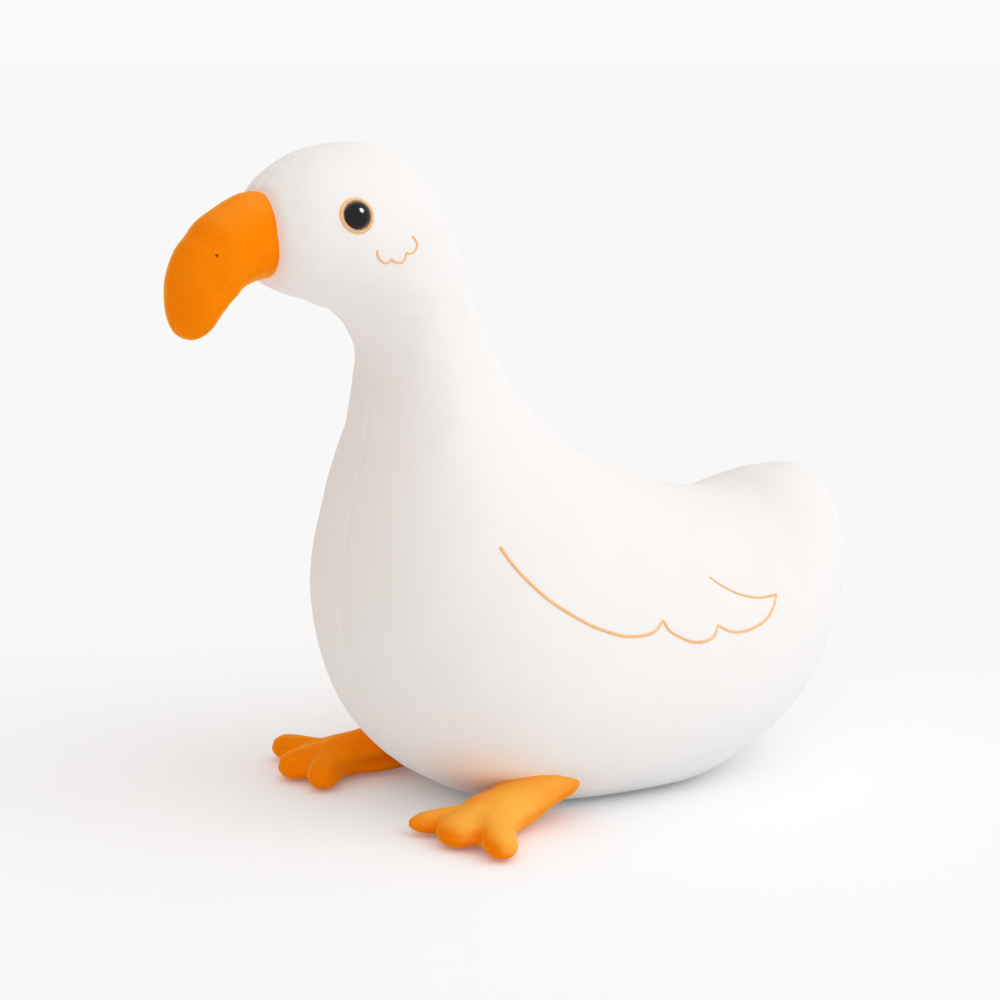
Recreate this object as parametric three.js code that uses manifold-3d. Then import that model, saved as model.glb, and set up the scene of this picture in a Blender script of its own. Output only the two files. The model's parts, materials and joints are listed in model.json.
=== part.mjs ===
// Plush goose pillow: a stuffed white goose that sits on its flat base with both feet out in front.
// Millimetres, +Z up. The goose faces -X, its left side is -Y, and the origin is the middle of its base.
import * as THREE from 'three';
import { mergeVertices } from 'three/addons/utils/BufferGeometryUtils.js';
import Module from 'manifold-3d';

const wasm = await Module();
wasm.setup();

// Overall size to a few mm, from the beak to the tail and from the floor to the crown
const GOOSE_LENGTH = 489;
const GOOSE_HEIGHT = 395;

// Cloth and clearances
const CLOTH = 2.5;
const LEG_CLOTH = 2;
const GAP = 0.3;
const BASE_SEAM_HEIGHT = 26;

// Widths of the white cover
const TAIL_WIDTH = 98;
const BODY_WIDTH = 218;
const NECK_WIDTH = 78;
const HEAD_WIDTH = 95;

// The neck bends on a ball that reaches past the neck's sides and its nape
const NECK_JOINT = { x: -0.18 * GOOSE_LENGTH, z: 0.684 * GOOSE_HEIGHT };
const NAPE_X = -0.084 * GOOSE_LENGTH;
const NECK_BALL_MARGIN = 11;
const NAPE_MARGIN = 3;
const NECK_CLEARANCE = 0.7;

// Beak
const BEAK_WIDTH = 52.6;
const BEAK_CLOTH = 2;
const NOSTRIL = { along: 0.446, across: 0.254 };
const NOSTRIL_DIAMETER = 2.2;

// Eyes: a domed button on a shank, held by a washer behind the cloth, with a stitched ring round it
const EYE = { x: -0.323 * GOOSE_LENGTH, z: 0.906 * GOOSE_HEIGHT };
const EYE_DIAMETER = 16;
const EYE_HEIGHT = 6.5;
const EYE_RIM = 1;
const SHANK_DIAMETER = 5;
const SHANK_TAIL = 2;
const WASHER_DIAMETER = 18;
const WASHER_THICKNESS = 1.6;
const EYE_RING_THREAD = 2.2;

// Satin stitching
const WING_THREAD = 2.6;
const CHEEK_THREAD = 1.5;
const THREAD_LIFT = 0.3;

// Legs and three-toed feet, lying forward on the floor from the hips
const HIP_X = -0.051 * GOOSE_LENGTH;
const HIP_HEIGHT = 20;
const HIP_INSET = 14;
const LEG_SPLAY = 12.5;
const LEG_WIDTH = 35;
const LEG_HEIGHT = 30;
const LEG_LENGTH = 70;
const LEG_SEAM_HEIGHT = 10;
const TOE_HEIGHT = 19;
const TOE_LIFT = 1.2;
const MIDDLE_TOE_WIDTH = 30;
const MIDDLE_TOE_LENGTH = 36;
const SIDE_TOE_WIDTH = 22;
const INNER_TOE_LENGTH = 44;
const INNER_TOE_ANGLE = 55;
const OUTER_TOE_LENGTH = 52;
const OUTER_TOE_ANGLE = 60;
const FLOOR_SINK = 1;

// Mesh fineness
const COVER_MESH = { sides: 18, rows: 25, sag: 0.12 };
const BEAK_MESH = { sides: 12, rows: 12, sag: 0.13 };
const LEG_MESH = { sides: 8, rows: 6, sag: 0 };
const TOE_MESH = { sides: 8, rows: 4, sag: 0 };
const THREAD_SIDES = 6;
const THREAD_STEP = 7;
const FEWEST_THREAD_STEPS = 6;
const ROUND_SEGMENTS = 14;
const BALL_SEGMENTS = 24;
const KNOT_SEGMENTS = 12;
const DOME_STEPS = 7;
const RING_SAMPLES = 12;
const FAR = 1000;

const LEFT = -1;
const RIGHT = 1;
const SIDE_NAMES = { [LEFT]: 'left', [RIGHT]: 'right' };
const UP = new THREE.Vector3(0, 1, 0);

const plush = (color) => new THREE.MeshStandardMaterial({ color, roughness: 0.95, metalness: 0 });
const WHITE_PLUSH = plush(0xf4f1ee);
const ORANGE_PLUSH = plush(0xff8410);
const FIBRE = plush(0xfafafa);
const ORANGE_THREAD = new THREE.MeshStandardMaterial({ color: 0xf08a1c, roughness: 0.5, metalness: 0 });
const BROWN_THREAD = new THREE.MeshStandardMaterial({ color: 0x6b3410, roughness: 0.6, metalness: 0 });
const BLACK_GLOSS = new THREE.MeshStandardMaterial({ color: 0x161618, roughness: 0.06, metalness: 0 });
const CLEAR_PLASTIC = new THREE.MeshStandardMaterial({ color: 0xe9e9e6, roughness: 0.4, metalness: 0 });

const goose = new THREE.Group();

// A point of the side view as [x, z], from percent of the length and of the height
const at = (x, z) => [(x / 100) * GOOSE_LENGTH, (z / 100) * GOOSE_HEIGHT];

// A rib is one oval section: its top and bottom points in the middle plane as [x, z], and its half width.
const rib = (top, bottom, half) => ({ top, bottom, half });
const tip = (point) => rib(point, point, 0);
const halfWidth = (from, to, share) => (from + (to - from) * share) / 2;

const COVER = {
  ...COVER_MESH,
  ribs: [
    tip(at(49.1, 27.3)),
    rib(at(48.7, 36.2), at(47.9, 19.5), halfWidth(0, TAIL_WIDTH, 0.58)),
    rib(at(45.2, 43.5), at(42.3, 12.7), TAIL_WIDTH / 2),
    rib(at(38.4, 44.3), at(33.1, 5.6), halfWidth(TAIL_WIDTH, BODY_WIDTH, 0.53)),
    rib(at(29.9, 42.3), at(22.5, 0), halfWidth(TAIL_WIDTH, BODY_WIDTH, 0.89)),
    rib(at(19.6, 44.6), at(9.8, -3.5), BODY_WIDTH / 2),
    rib(at(7.8, 50.4), at(-10.4, 0), halfWidth(BODY_WIDTH, NECK_WIDTH, 0.03)),
    rib(at(0, 56.2), at(-23.3, 10.9), halfWidth(BODY_WIDTH, NECK_WIDTH, 0.17)),
    rib(at(-4.5, 61.5), at(-29, 27.8), halfWidth(BODY_WIDTH, NECK_WIDTH, 0.43)),
    rib(at(-7.8, 66.8), at(-28.2, 43.5), halfWidth(BODY_WIDTH, NECK_WIDTH, 0.69)),
    rib(at(-10.2, 73.2), at(-25.6, 56.7), halfWidth(BODY_WIDTH, NECK_WIDTH, 0.9)),
    rib(at(-12.3, 80), at(-24.5, 68.4), NECK_WIDTH / 2),
    rib(at(-14.7, 87.3), at(-27.8, 74.9), halfWidth(NECK_WIDTH, HEAD_WIDTH, 0.25)),
    rib(at(-18.8, 95.7), at(-31.9, 77.5), halfWidth(NECK_WIDTH, HEAD_WIDTH, 0.85)),
    rib(at(-25.4, 99.7), at(-35.8, 79.2), HEAD_WIDTH / 2),
    rib(at(-33.1, 99), at(-38.7, 81), halfWidth(0, HEAD_WIDTH, 0.87)),
    rib(at(-38.7, 94.9), at(-40.1, 83.8), halfWidth(0, HEAD_WIDTH, 0.55)),
    tip(at(-40.7, 89.1)),
  ],
};

const BEAK = {
  ...BEAK_MESH,
  ribs: [
    tip(at(-33.9, 87.6)),
    rib(at(-36.3, 92.5), at(-36.4, 81), halfWidth(0, BEAK_WIDTH, 0.754)),
    rib(at(-40.7, 93.6), at(-39.4, 81.6), halfWidth(0, BEAK_WIDTH, 0.915)),
    rib(at(-45.6, 90.8), at(-42.7, 80.5), BEAK_WIDTH / 2),
    rib(at(-48, 88), at(-44, 79), halfWidth(0, BEAK_WIDTH, 0.963)),
    rib(at(-49.3, 86.2), at(-45.4, 77), halfWidth(0, BEAK_WIDTH, 0.861)),
    rib(at(-50.3, 83.2), at(-46.8, 74.9), halfWidth(0, BEAK_WIDTH, 0.781)),
    rib(at(-50.7, 79.9), at(-48.2, 74), halfWidth(0, BEAK_WIDTH, 0.56)),
    rib(at(-50.6, 77.2), at(-49.4, 74.4), halfWidth(0, BEAK_WIDTH, 0.269)),
    tip(at(-50.1, 75.5)),
  ],
};

// The leg runs forward and down from the hip at x = 0 and ends in the ball of the foot.
const HEEL = -0.065 * LEG_LENGTH;
const CALF = -LEG_LENGTH / 3;
const SHIN = -0.62 * LEG_LENGTH;
const ANKLE = -0.82 * LEG_LENGTH;
const FOOT = -1.03 * LEG_LENGTH;
const LEG = {
  ...LEG_MESH,
  ribs: [
    tip([0, HIP_HEIGHT]),
    rib([HEEL, 1.09 * LEG_HEIGHT], [HEEL, 0.55 * HIP_HEIGHT], halfWidth(0, LEG_WIDTH, 0.98)),
    rib([CALF, 1.22 * LEG_HEIGHT], [CALF, HIP_HEIGHT / 4], halfWidth(0, LEG_WIDTH, 1.06)),
    rib([SHIN, 0.97 * LEG_HEIGHT], [SHIN, -FLOOR_SINK / 4], halfWidth(0, LEG_WIDTH, 1.02)),
    rib([ANKLE, 0.84 * LEG_HEIGHT], [ANKLE, -FLOOR_SINK], halfWidth(0, LEG_WIDTH, 1.06)),
    rib([FOOT, 1.15 * TOE_HEIGHT], [FOOT, -FLOOR_SINK], halfWidth(0, LEG_WIDTH, 1.2)),
    tip([FOOT - LEG_WIDTH / 2, TOE_HEIGHT / 2]),
  ],
};

// A toe runs forward from the ball of the foot at x = 0.
const KNUCKLE = -TOE_HEIGHT / 10;
const toe = (length, width) => ({
  ...TOE_MESH,
  ribs: [
    tip([TOE_HEIGHT / 3, TOE_HEIGHT / 2]),
    rib([KNUCKLE, 1.05 * TOE_HEIGHT], [KNUCKLE, -FLOOR_SINK], halfWidth(0, width, 0.94)),
    rib([-0.55 * length, 0.97 * TOE_HEIGHT], [-0.55 * length, -FLOOR_SINK / 2], width / 2),
    rib([-0.86 * length, 0.8 * TOE_HEIGHT], [-0.86 * length, TOE_LIFT], halfWidth(0, width, 0.74)),
    tip([-length, 0.44 * TOE_HEIGHT]),
  ],
});

// Stitched lines on the left side as side view points of each stroke; the right side mirrors them.
const WING_STROKES = [
  [
    at(-17.8, 43.5), at(-14.9, 38.2), at(-11.5, 34.2), at(-7.6, 31.1),
    at(-2.7, 28.9), at(0.6, 28.6), at(2.9, 30.1),
  ],
  [at(2.9, 30.1), at(4.5, 27.8), at(7.8, 25.8), at(10.2, 26.1), at(11.5, 27.6)],
  [at(11.5, 27.6), at(14.7, 26.1), at(19.2, 26.3), at(22.1, 28.1), at(23.1, 29.9)],
  [at(23.1, 29.9), at(19.4, 30.1), at(16, 31.6), at(12.5, 34.4)],
];
const CHEEK_STROKES = [
  [at(-30, 85.8), at(-29.8, 85), at(-29.3, 84.3), at(-28.7, 83.9), at(-28.2, 84), at(-27.9, 84.4)],
  [at(-27.9, 84.4), at(-27.5, 84), at(-26.9, 83.8), at(-26.3, 83.9), at(-26, 84.4), at(-25.9, 85.1)],
  [at(-25.9, 85.1), at(-25.4, 85), at(-24.7, 85.2), at(-24.3, 86), at(-24.5, 86.7), at(-25, 87.4)],
];

// The smooth lines through the tops and bottoms of a form's ribs; the top one carries the half widths as Y
function rails(form) {
  const rail = (pick) => new THREE.CatmullRomCurve3(form.ribs.map(pick), false, 'catmullrom', 0.5);
  const topRail = rail(({ top, half }) => new THREE.Vector3(top[0], half, top[1]));
  const bottomRail = rail(({ bottom }) => new THREE.Vector3(bottom[0], 0, bottom[1]));
  return { topRail, bottomRail };
}

// A closed skin through the ribs of a form, moved out along its normals by an offset.
function skin(form, offset = 0) {
  const { topRail, bottomRail } = rails(form);
  const { rows } = form;
  const positions = [];
  const indices = [];
  const vertex = (row, side) => {
    if (row === 0) return 0;
    if (row === rows) return 1 + (rows - 1) * form.sides;
    return 1 + (row - 1) * form.sides + (side % form.sides);
  };
  for (let row = 0; row <= rows; row += 1) {
    const top = topRail.getPoint(row / rows);
    const bottom = bottomRail.getPoint(row / rows);
    const isTip = row === 0 || row === rows;
    for (let side = 0; side < (isTip ? 1 : form.sides); side += 1) {
      const angle = (2 * Math.PI * side) / form.sides;
      const rise = isTip ? 0 : Math.cos(angle) - form.sag * Math.sin(angle) ** 2;
      const x = (top.x + bottom.x) / 2 + ((top.x - bottom.x) / 2) * rise;
      const z = (top.z + bottom.z) / 2 + ((top.z - bottom.z) / 2) * rise;
      positions.push(x, isTip ? 0 : top.y * Math.sin(angle), z);
    }
  }
  for (let row = 0; row < rows; row += 1) {
    for (let side = 0; side < form.sides; side += 1) {
      const [a, b] = [vertex(row, side), vertex(row, side + 1)];
      const [c, d] = [vertex(row + 1, side + 1), vertex(row + 1, side)];
      const mirrored = side >= form.sides / 2;
      if (row < rows - 1) indices.push(...(mirrored ? [b, c, d] : [a, c, d]));
      if (row > 0) indices.push(...(mirrored ? [a, b, d] : [a, b, c]));
    }
  }
  const geometry = new THREE.BufferGeometry();
  geometry.setAttribute('position', new THREE.Float32BufferAttribute(positions, 3));
  geometry.setIndex(indices);
  geometry.computeVertexNormals();
  const { position, normal } = geometry.attributes;
  for (let i = 0; i < position.count; i += 1) {
    position.setXYZ(
      i,
      position.getX(i) + normal.getX(i) * offset,
      position.getY(i) + normal.getY(i) * offset,
      position.getZ(i) + normal.getZ(i) * offset,
    );
  }
  return geometry;
}

// Solids for joining and cutting
function solid(geometry) {
  const bare = geometry.clone();
  for (const name of Object.keys(bare.attributes)) {
    if (name !== 'position') bare.deleteAttribute(name);
  }
  const merged = mergeVertices(bare, 1e-4);
  return new wasm.Manifold(new wasm.Mesh({
    numProp: 3,
    vertProperties: new Float32Array(merged.attributes.position.array),
    triVerts: new Uint32Array(merged.index.array),
  }));
}

function geometryOf(manifold) {
  const mesh = manifold.getMesh();
  const geometry = new THREE.BufferGeometry();
  geometry.setAttribute('position', new THREE.Float32BufferAttribute(mesh.vertProperties, 3));
  geometry.setIndex(Array.from(mesh.triVerts));
  return geometry;
}

function block([x0, y0, z0], [x1, y1, z1]) {
  const box = new THREE.BoxGeometry(x1 - x0, y1 - y0, z1 - z0);
  box.translate((x0 + x1) / 2, (y0 + y1) / 2, (z0 + z1) / 2);
  return solid(box);
}

function ball({ x, z }, radius) {
  const sphere = new THREE.SphereGeometry(radius, BALL_SEGMENTS, BALL_SEGMENTS / 2);
  sphere.translate(x, 0, z);
  return solid(sphere);
}

const above = (height) => block([-FAR, -FAR, height], [FAR, FAR, FAR]);
const below = (height) => block([-FAR, -FAR, -FAR], [FAR, FAR, height]);
const onSide = (side) => (side === LEFT
  ? block([-FAR, -FAR, -FAR], [FAR, -GAP / 2, FAR])
  : block([-FAR, GAP / 2, -FAR], [FAR, FAR, FAR]));

function add(name, manifold, material) {
  const geometry = geometryOf(manifold);
  geometry.computeVertexNormals();
  const mesh = new THREE.Mesh(geometry, material);
  mesh.name = name;
  goose.add(mesh);
}

// Where a sideways line at x, z first meets a skin, seen from one side
function touch(target, { x, z }, side) {
  const ray = new THREE.Raycaster(new THREE.Vector3(x, side * FAR, z), new THREE.Vector3(0, -side, 0));
  const { point, normal } = ray.intersectObject(target)[0];
  return { point, normal: normal.clone().normalize() };
}

const coverTarget = new THREE.Mesh(skin(COVER));
const beakTarget = new THREE.Mesh(skin(BEAK));

// The white cover and what fills it
const coverOuter = solid(skin(COVER)).intersect(above(0));
const coverInner = solid(skin(COVER, -CLOTH)).intersect(above(CLOTH));
const coverClear = solid(skin(COVER, GAP));
const cover = coverOuter.subtract(coverInner);
const filling = solid(skin(COVER, -CLOTH - GAP)).intersect(above(CLOTH + GAP));

// The head is everything above the neck ball's centre and everything inside that ball
const napeReach = NAPE_X - NECK_JOINT.x + NAPE_MARGIN;
const neckBallRadius = Math.max(NECK_WIDTH / 2 + NECK_BALL_MARGIN, napeReach);
const headZone = above(NECK_JOINT.z).add(ball(NECK_JOINT, neckBallRadius));
const clearOfHead = above(NECK_JOINT.z).add(ball(NECK_JOINT, neckBallRadius + NECK_CLEARANCE));

function addBody() {
  const shell = cover.subtract(clearOfHead);
  const sides = shell.intersect(above(BASE_SEAM_HEIGHT + GAP / 2));
  for (const side of [LEFT, RIGHT]) {
    add(`body_side_${SIDE_NAMES[side]}`, sides.intersect(onSide(side)), WHITE_PLUSH);
  }
  add('body_base', shell.intersect(below(BASE_SEAM_HEIGHT - GAP / 2)), WHITE_PLUSH);
  add('body_stuffing', filling.subtract(clearOfHead), FIBRE);
}

// An eye's frame has its Y axis along the cloth's normal and its origin on the cloth
function eyeFrame(side) {
  const { point, normal } = touch(coverTarget, EYE, side);
  const turn = new THREE.Quaternion().setFromUnitVectors(UP, normal);
  return new THREE.Matrix4().compose(point, turn, new THREE.Vector3(1, 1, 1));
}

const turned = (profile) => new THREE.LatheGeometry(profile, ROUND_SEGMENTS);

function column(radius, from, to) {
  const profile = [[0, from], [radius, from], [radius, to], [0, to]];
  return turned(profile.map(([r, y]) => new THREE.Vector2(r, y)));
}

const shankRadius = SHANK_DIAMETER / 2;
const washerTop = -CLOTH - GAP;
const washerFoot = washerTop - WASHER_THICKNESS;
const shankFoot = washerFoot - SHANK_TAIL;

function eyeButton() {
  const radius = EYE_DIAMETER / 2;
  const profile = [[0, shankFoot], [shankRadius, shankFoot], [shankRadius, GAP], [radius, GAP]];
  for (let step = 0; step <= DOME_STEPS; step += 1) {
    const angle = (Math.PI / 2) * (step / DOME_STEPS);
    profile.push([radius * Math.cos(angle), GAP + EYE_RIM + (EYE_HEIGHT - EYE_RIM) * Math.sin(angle)]);
  }
  profile[profile.length - 1][0] = 0;
  return turned(profile.map(([r, y]) => new THREE.Vector2(r, y)));
}

// The ring's centre line lies on the cloth, which falls away round the eye
function eyeRing(side, frame) {
  const radius = EYE_DIAMETER / 2 + GAP + EYE_RING_THREAD / 2;
  const back = frame.clone().invert();
  let height = 0;
  for (let sample = 0; sample < RING_SAMPLES; sample += 1) {
    const angle = (2 * Math.PI * sample) / RING_SAMPLES;
    const place = new THREE.Vector3(Math.cos(angle), 0, Math.sin(angle)).multiplyScalar(radius);
    place.applyMatrix4(frame);
    height += touch(coverTarget, place, side).point.applyMatrix4(back).y / RING_SAMPLES;
  }
  const ring = new THREE.TorusGeometry(radius, EYE_RING_THREAD / 2, THREAD_SIDES, ROUND_SEGMENTS);
  ring.rotateX(Math.PI / 2);
  ring.translate(0, height + THREAD_LIFT, 0);
  return solid(ring.applyMatrix4(frame)).subtract(coverClear);
}

function addHead() {
  let shell = cover.intersect(headZone);
  let stuffing = filling.intersect(headZone);
  const behindCloth = solid(skin(COVER, -CLOTH - GAP));
  for (const side of [LEFT, RIGHT]) {
    const name = SIDE_NAMES[side];
    const frame = eyeFrame(side);
    const placed = (geometry) => solid(geometry.applyMatrix4(frame));
    const shankHole = placed(column(shankRadius + GAP, shankFoot - GAP, EYE_HEIGHT));
    const washerRoom = placed(column(WASHER_DIAMETER / 2 + GAP, washerFoot - GAP, 0));
    const washer = placed(column(WASHER_DIAMETER / 2, washerFoot, washerTop));
    add(`eye_${name}`, placed(eyeButton()).subtract(coverClear.subtract(shankHole)), BLACK_GLOSS);
    add(`eye_washer_${name}`, washer.intersect(behindCloth).subtract(shankHole), CLEAR_PLASTIC);
    add(`eye_ring_${name}`, eyeRing(side, frame), ORANGE_THREAD);
    shell = shell.subtract(shankHole);
    stuffing = stuffing.subtract(shankHole).subtract(washerRoom);
  }
  for (const side of [LEFT, RIGHT]) {
    add(`head_side_${SIDE_NAMES[side]}`, shell.intersect(onSide(side)), WHITE_PLUSH);
  }
  add('head_stuffing', stuffing, FIBRE);
}

function addBeak() {
  const outer = solid(skin(BEAK)).subtract(coverClear);
  const shell = outer.subtract(solid(skin(BEAK, -BEAK_CLOTH)));
  const clear = solid(skin(BEAK, GAP));
  const { topRail, bottomRail } = rails(BEAK);
  const nostril = topRail.getPoint(NOSTRIL.along).lerp(bottomRail.getPoint(NOSTRIL.along), NOSTRIL.across);
  for (const side of [LEFT, RIGHT]) {
    const name = SIDE_NAMES[side];
    const { point } = touch(beakTarget, nostril, side);
    const knot = new THREE.SphereGeometry(NOSTRIL_DIAMETER / 2, KNOT_SEGMENTS, KNOT_SEGMENTS / 2);
    knot.translate(point.x, point.y, point.z);
    add(`beak_${name}`, shell.intersect(onSide(side)), ORANGE_PLUSH);
    add(`nostril_knot_${name}`, solid(knot).subtract(clear), BROWN_THREAD);
  }
  add('beak_stuffing', solid(skin(BEAK, -BEAK_CLOTH - GAP)).subtract(coverClear), FIBRE);
}

// A line of satin stitch: a bead along a path on the cloth, flat where it lies on it
function stitchedLine(strokes, side, width) {
  const section = new THREE.Shape();
  section.absarc(0, 0, width / 2, 0, 2 * Math.PI);
  const beads = strokes.map((points) => {
    const flat = new THREE.CatmullRomCurve3(points.map(([x, z]) => new THREE.Vector3(x, 0, z)));
    const steps = Math.max(FEWEST_THREAD_STEPS, Math.round(flat.getLength() / THREAD_STEP));
    const laid = flat.getSpacedPoints(steps).map((place) => {
      const { point, normal } = touch(coverTarget, place, side);
      return point.addScaledVector(normal, THREAD_LIFT);
    });
    const path = new THREE.CatmullRomCurve3(laid);
    return solid(new THREE.ExtrudeGeometry(section, {
      steps,
      extrudePath: path,
      curveSegments: THREAD_SIDES / 2,
    }));
  });
  return beads.reduce((line, bead) => line.add(bead)).subtract(coverClear);
}

function addStitching() {
  for (const side of [LEFT, RIGHT]) {
    const name = SIDE_NAMES[side];
    add(`wing_stitch_${name}`, stitchedLine(WING_STROKES, side, WING_THREAD), ORANGE_THREAD);
    add(`cheek_stitch_${name}`, stitchedLine(CHEEK_STROKES, side, CHEEK_THREAD), ORANGE_THREAD);
  }
}

// One leg and its three toes as a single swelling form, set at its hip and turned out by the splay
function legForm(side, offset) {
  const { point } = touch(coverTarget, { x: HIP_X, z: HIP_HEIGHT }, side);
  const place = new THREE.Matrix4().makeRotationZ(THREE.MathUtils.degToRad(-side * LEG_SPLAY));
  place.setPosition(HIP_X, point.y - side * HIP_INSET, 0);
  const toes = [
    [MIDDLE_TOE_LENGTH, MIDDLE_TOE_WIDTH, 0],
    [INNER_TOE_LENGTH, SIDE_TOE_WIDTH, side * INNER_TOE_ANGLE],
    [OUTER_TOE_LENGTH, SIDE_TOE_WIDTH, -side * OUTER_TOE_ANGLE],
  ];
  let form = solid(skin(LEG, offset).applyMatrix4(place));
  for (const [length, width, angle] of toes) {
    const onFoot = new THREE.Matrix4().makeRotationZ(THREE.MathUtils.degToRad(angle));
    onFoot.setPosition(-LEG_LENGTH, 0, 0);
    const piece = skin(toe(length, width), offset).applyMatrix4(onFoot).applyMatrix4(place);
    form = form.add(solid(piece));
  }
  return form;
}

function addLeg(side) {
  const name = SIDE_NAMES[side];
  const layer = (inset) => legForm(side, -inset)
    .intersect(above(inset))
    .subtract(solid(skin(COVER, GAP + inset)));
  const shell = layer(0).subtract(layer(LEG_CLOTH));
  add(`leg_top_${name}`, shell.intersect(above(LEG_SEAM_HEIGHT + GAP / 2)), ORANGE_PLUSH);
  add(`leg_sole_${name}`, shell.intersect(below(LEG_SEAM_HEIGHT - GAP / 2)), ORANGE_PLUSH);
  add(`leg_stuffing_${name}`, layer(LEG_CLOTH + GAP), FIBRE);
}

addBody();
addHead();
addBeak();
addStitching();
addLeg(LEFT);
addLeg(RIGHT);

export default goose;
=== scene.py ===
"""The looks of the plush goose pillow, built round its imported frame. Metres, +Z up, the goose faces -X."""

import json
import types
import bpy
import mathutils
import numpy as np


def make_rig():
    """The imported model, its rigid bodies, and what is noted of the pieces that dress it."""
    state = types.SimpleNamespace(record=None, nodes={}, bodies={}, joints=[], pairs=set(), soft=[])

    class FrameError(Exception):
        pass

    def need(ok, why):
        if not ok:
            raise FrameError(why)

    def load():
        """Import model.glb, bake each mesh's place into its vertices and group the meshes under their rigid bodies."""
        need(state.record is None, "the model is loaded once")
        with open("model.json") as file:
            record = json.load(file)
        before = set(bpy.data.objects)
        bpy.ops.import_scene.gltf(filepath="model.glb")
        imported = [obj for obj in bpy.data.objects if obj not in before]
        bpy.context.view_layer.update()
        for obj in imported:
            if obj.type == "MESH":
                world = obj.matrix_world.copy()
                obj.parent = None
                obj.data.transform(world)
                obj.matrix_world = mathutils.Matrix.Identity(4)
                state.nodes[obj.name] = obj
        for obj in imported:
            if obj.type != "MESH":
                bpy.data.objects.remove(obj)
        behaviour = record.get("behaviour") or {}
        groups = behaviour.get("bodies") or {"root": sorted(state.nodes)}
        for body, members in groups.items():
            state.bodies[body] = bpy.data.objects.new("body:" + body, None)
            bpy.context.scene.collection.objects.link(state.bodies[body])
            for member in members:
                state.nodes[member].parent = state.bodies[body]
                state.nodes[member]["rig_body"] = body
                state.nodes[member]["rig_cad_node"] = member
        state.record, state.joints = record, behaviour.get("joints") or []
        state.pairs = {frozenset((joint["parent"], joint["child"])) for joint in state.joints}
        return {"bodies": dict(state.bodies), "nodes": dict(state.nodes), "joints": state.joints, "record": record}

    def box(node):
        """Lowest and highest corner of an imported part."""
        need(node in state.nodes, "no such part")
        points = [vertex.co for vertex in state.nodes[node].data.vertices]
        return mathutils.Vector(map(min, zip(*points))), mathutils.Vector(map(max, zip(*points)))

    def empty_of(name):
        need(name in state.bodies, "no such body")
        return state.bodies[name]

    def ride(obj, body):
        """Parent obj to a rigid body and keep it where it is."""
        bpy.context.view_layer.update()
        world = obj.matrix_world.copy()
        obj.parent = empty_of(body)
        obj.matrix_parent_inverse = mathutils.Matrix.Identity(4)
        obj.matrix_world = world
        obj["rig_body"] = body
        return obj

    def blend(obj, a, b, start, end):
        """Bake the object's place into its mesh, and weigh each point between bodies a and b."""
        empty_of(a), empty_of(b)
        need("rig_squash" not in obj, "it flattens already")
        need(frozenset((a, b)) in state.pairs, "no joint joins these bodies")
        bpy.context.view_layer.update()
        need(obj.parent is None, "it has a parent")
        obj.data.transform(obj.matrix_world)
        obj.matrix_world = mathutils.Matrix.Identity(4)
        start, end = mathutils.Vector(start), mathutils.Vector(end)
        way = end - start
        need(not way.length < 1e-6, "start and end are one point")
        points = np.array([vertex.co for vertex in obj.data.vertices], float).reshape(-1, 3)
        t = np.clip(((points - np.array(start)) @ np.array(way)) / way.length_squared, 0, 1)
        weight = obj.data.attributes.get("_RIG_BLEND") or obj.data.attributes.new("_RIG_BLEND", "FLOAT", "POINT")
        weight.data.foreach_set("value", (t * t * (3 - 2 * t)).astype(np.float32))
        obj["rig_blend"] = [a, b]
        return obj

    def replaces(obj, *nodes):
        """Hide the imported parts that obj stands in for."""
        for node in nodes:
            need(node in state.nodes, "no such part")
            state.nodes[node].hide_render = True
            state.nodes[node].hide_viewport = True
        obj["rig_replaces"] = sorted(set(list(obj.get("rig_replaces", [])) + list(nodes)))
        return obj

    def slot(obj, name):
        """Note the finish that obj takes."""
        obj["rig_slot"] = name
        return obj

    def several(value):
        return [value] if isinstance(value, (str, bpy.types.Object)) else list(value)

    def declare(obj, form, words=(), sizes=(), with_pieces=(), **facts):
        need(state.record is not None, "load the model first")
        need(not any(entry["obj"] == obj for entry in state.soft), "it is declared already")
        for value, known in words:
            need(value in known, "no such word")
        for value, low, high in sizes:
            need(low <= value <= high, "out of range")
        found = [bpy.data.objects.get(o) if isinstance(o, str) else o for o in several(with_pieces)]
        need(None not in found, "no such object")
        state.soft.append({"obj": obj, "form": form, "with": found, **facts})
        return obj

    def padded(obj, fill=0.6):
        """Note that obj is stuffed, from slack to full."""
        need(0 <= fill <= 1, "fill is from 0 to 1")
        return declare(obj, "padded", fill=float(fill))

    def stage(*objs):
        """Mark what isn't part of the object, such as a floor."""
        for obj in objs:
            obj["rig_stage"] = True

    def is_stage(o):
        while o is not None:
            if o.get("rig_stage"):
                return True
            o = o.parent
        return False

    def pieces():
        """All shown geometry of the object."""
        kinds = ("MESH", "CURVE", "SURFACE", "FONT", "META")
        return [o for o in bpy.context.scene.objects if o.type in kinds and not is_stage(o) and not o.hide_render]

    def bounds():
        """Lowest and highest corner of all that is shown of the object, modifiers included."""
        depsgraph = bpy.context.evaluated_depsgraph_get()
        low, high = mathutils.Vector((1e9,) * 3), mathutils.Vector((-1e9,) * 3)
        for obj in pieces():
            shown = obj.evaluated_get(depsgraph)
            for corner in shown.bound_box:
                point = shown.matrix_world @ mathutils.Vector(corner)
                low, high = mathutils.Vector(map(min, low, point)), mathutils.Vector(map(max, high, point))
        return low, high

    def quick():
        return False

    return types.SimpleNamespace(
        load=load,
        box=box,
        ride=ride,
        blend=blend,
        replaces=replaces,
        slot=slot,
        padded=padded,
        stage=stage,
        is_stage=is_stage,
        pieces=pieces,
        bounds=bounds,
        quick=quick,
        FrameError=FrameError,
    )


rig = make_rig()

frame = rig.load()

import json
import math

import bmesh
import bpy
import numpy as np
from mathutils import Matrix, Vector
from mathutils.bvhtree import BVHTree

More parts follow.
